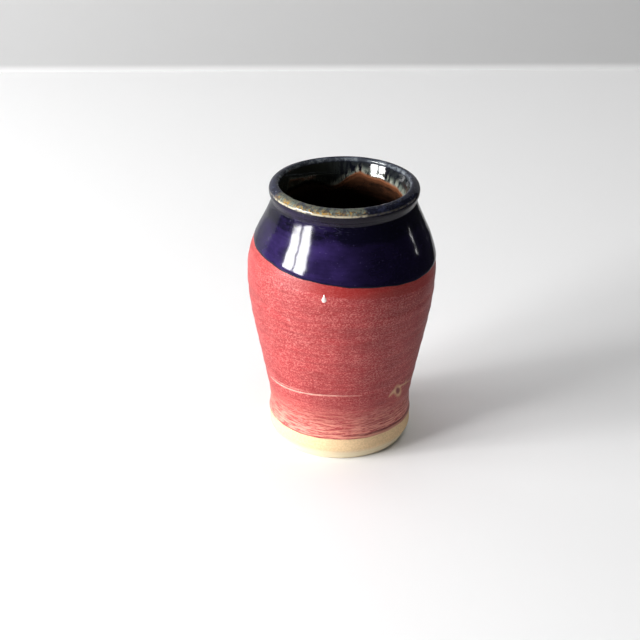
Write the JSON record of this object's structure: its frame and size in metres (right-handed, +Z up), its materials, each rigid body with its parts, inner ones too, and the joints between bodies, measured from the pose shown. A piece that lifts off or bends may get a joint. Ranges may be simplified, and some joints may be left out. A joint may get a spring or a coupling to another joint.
{
  "type": "small vase",
  "caption": "Small wheel-thrown stoneware vase with a rolled lip, a wide mouth, a rounded shoulder and a narrow foot, glazed in rose below and cobalt above.",
  "frame": {"origin": "centre of the foot, on the plane that the vase stands on", "axes": "+Z up along the axis that the pot was thrown about, towards the mouth; the cobalt glaze reaches lowest towards +X"},
  "size_m": [0.0858, 0.0858, 0.1269],
  "materials": {
    "bare_clay": "bare buff stoneware, matt, fine toothed grain",
    "rose_glaze": "gloss rose-red glaze, finely speckled, brushed rings showing paler clay",
    "cobalt_glaze": "high-gloss deep cobalt glaze with faint speckle",
    "lip_glaze": "gloss slate-blue glaze breaking to honey and pale blue streaks where two glazes overlap",
    "liner_glaze": "satin dark brown liner glaze, amber where thin"
  },
  "bodies": {
    "root": {"clay_body": "bare_clay", "rose_glaze": "rose_glaze", "cobalt_glaze": "cobalt_glaze", "lip_glaze": "lip_glaze", "liner_glaze": "liner_glaze"}
  },
  "joints": []
}
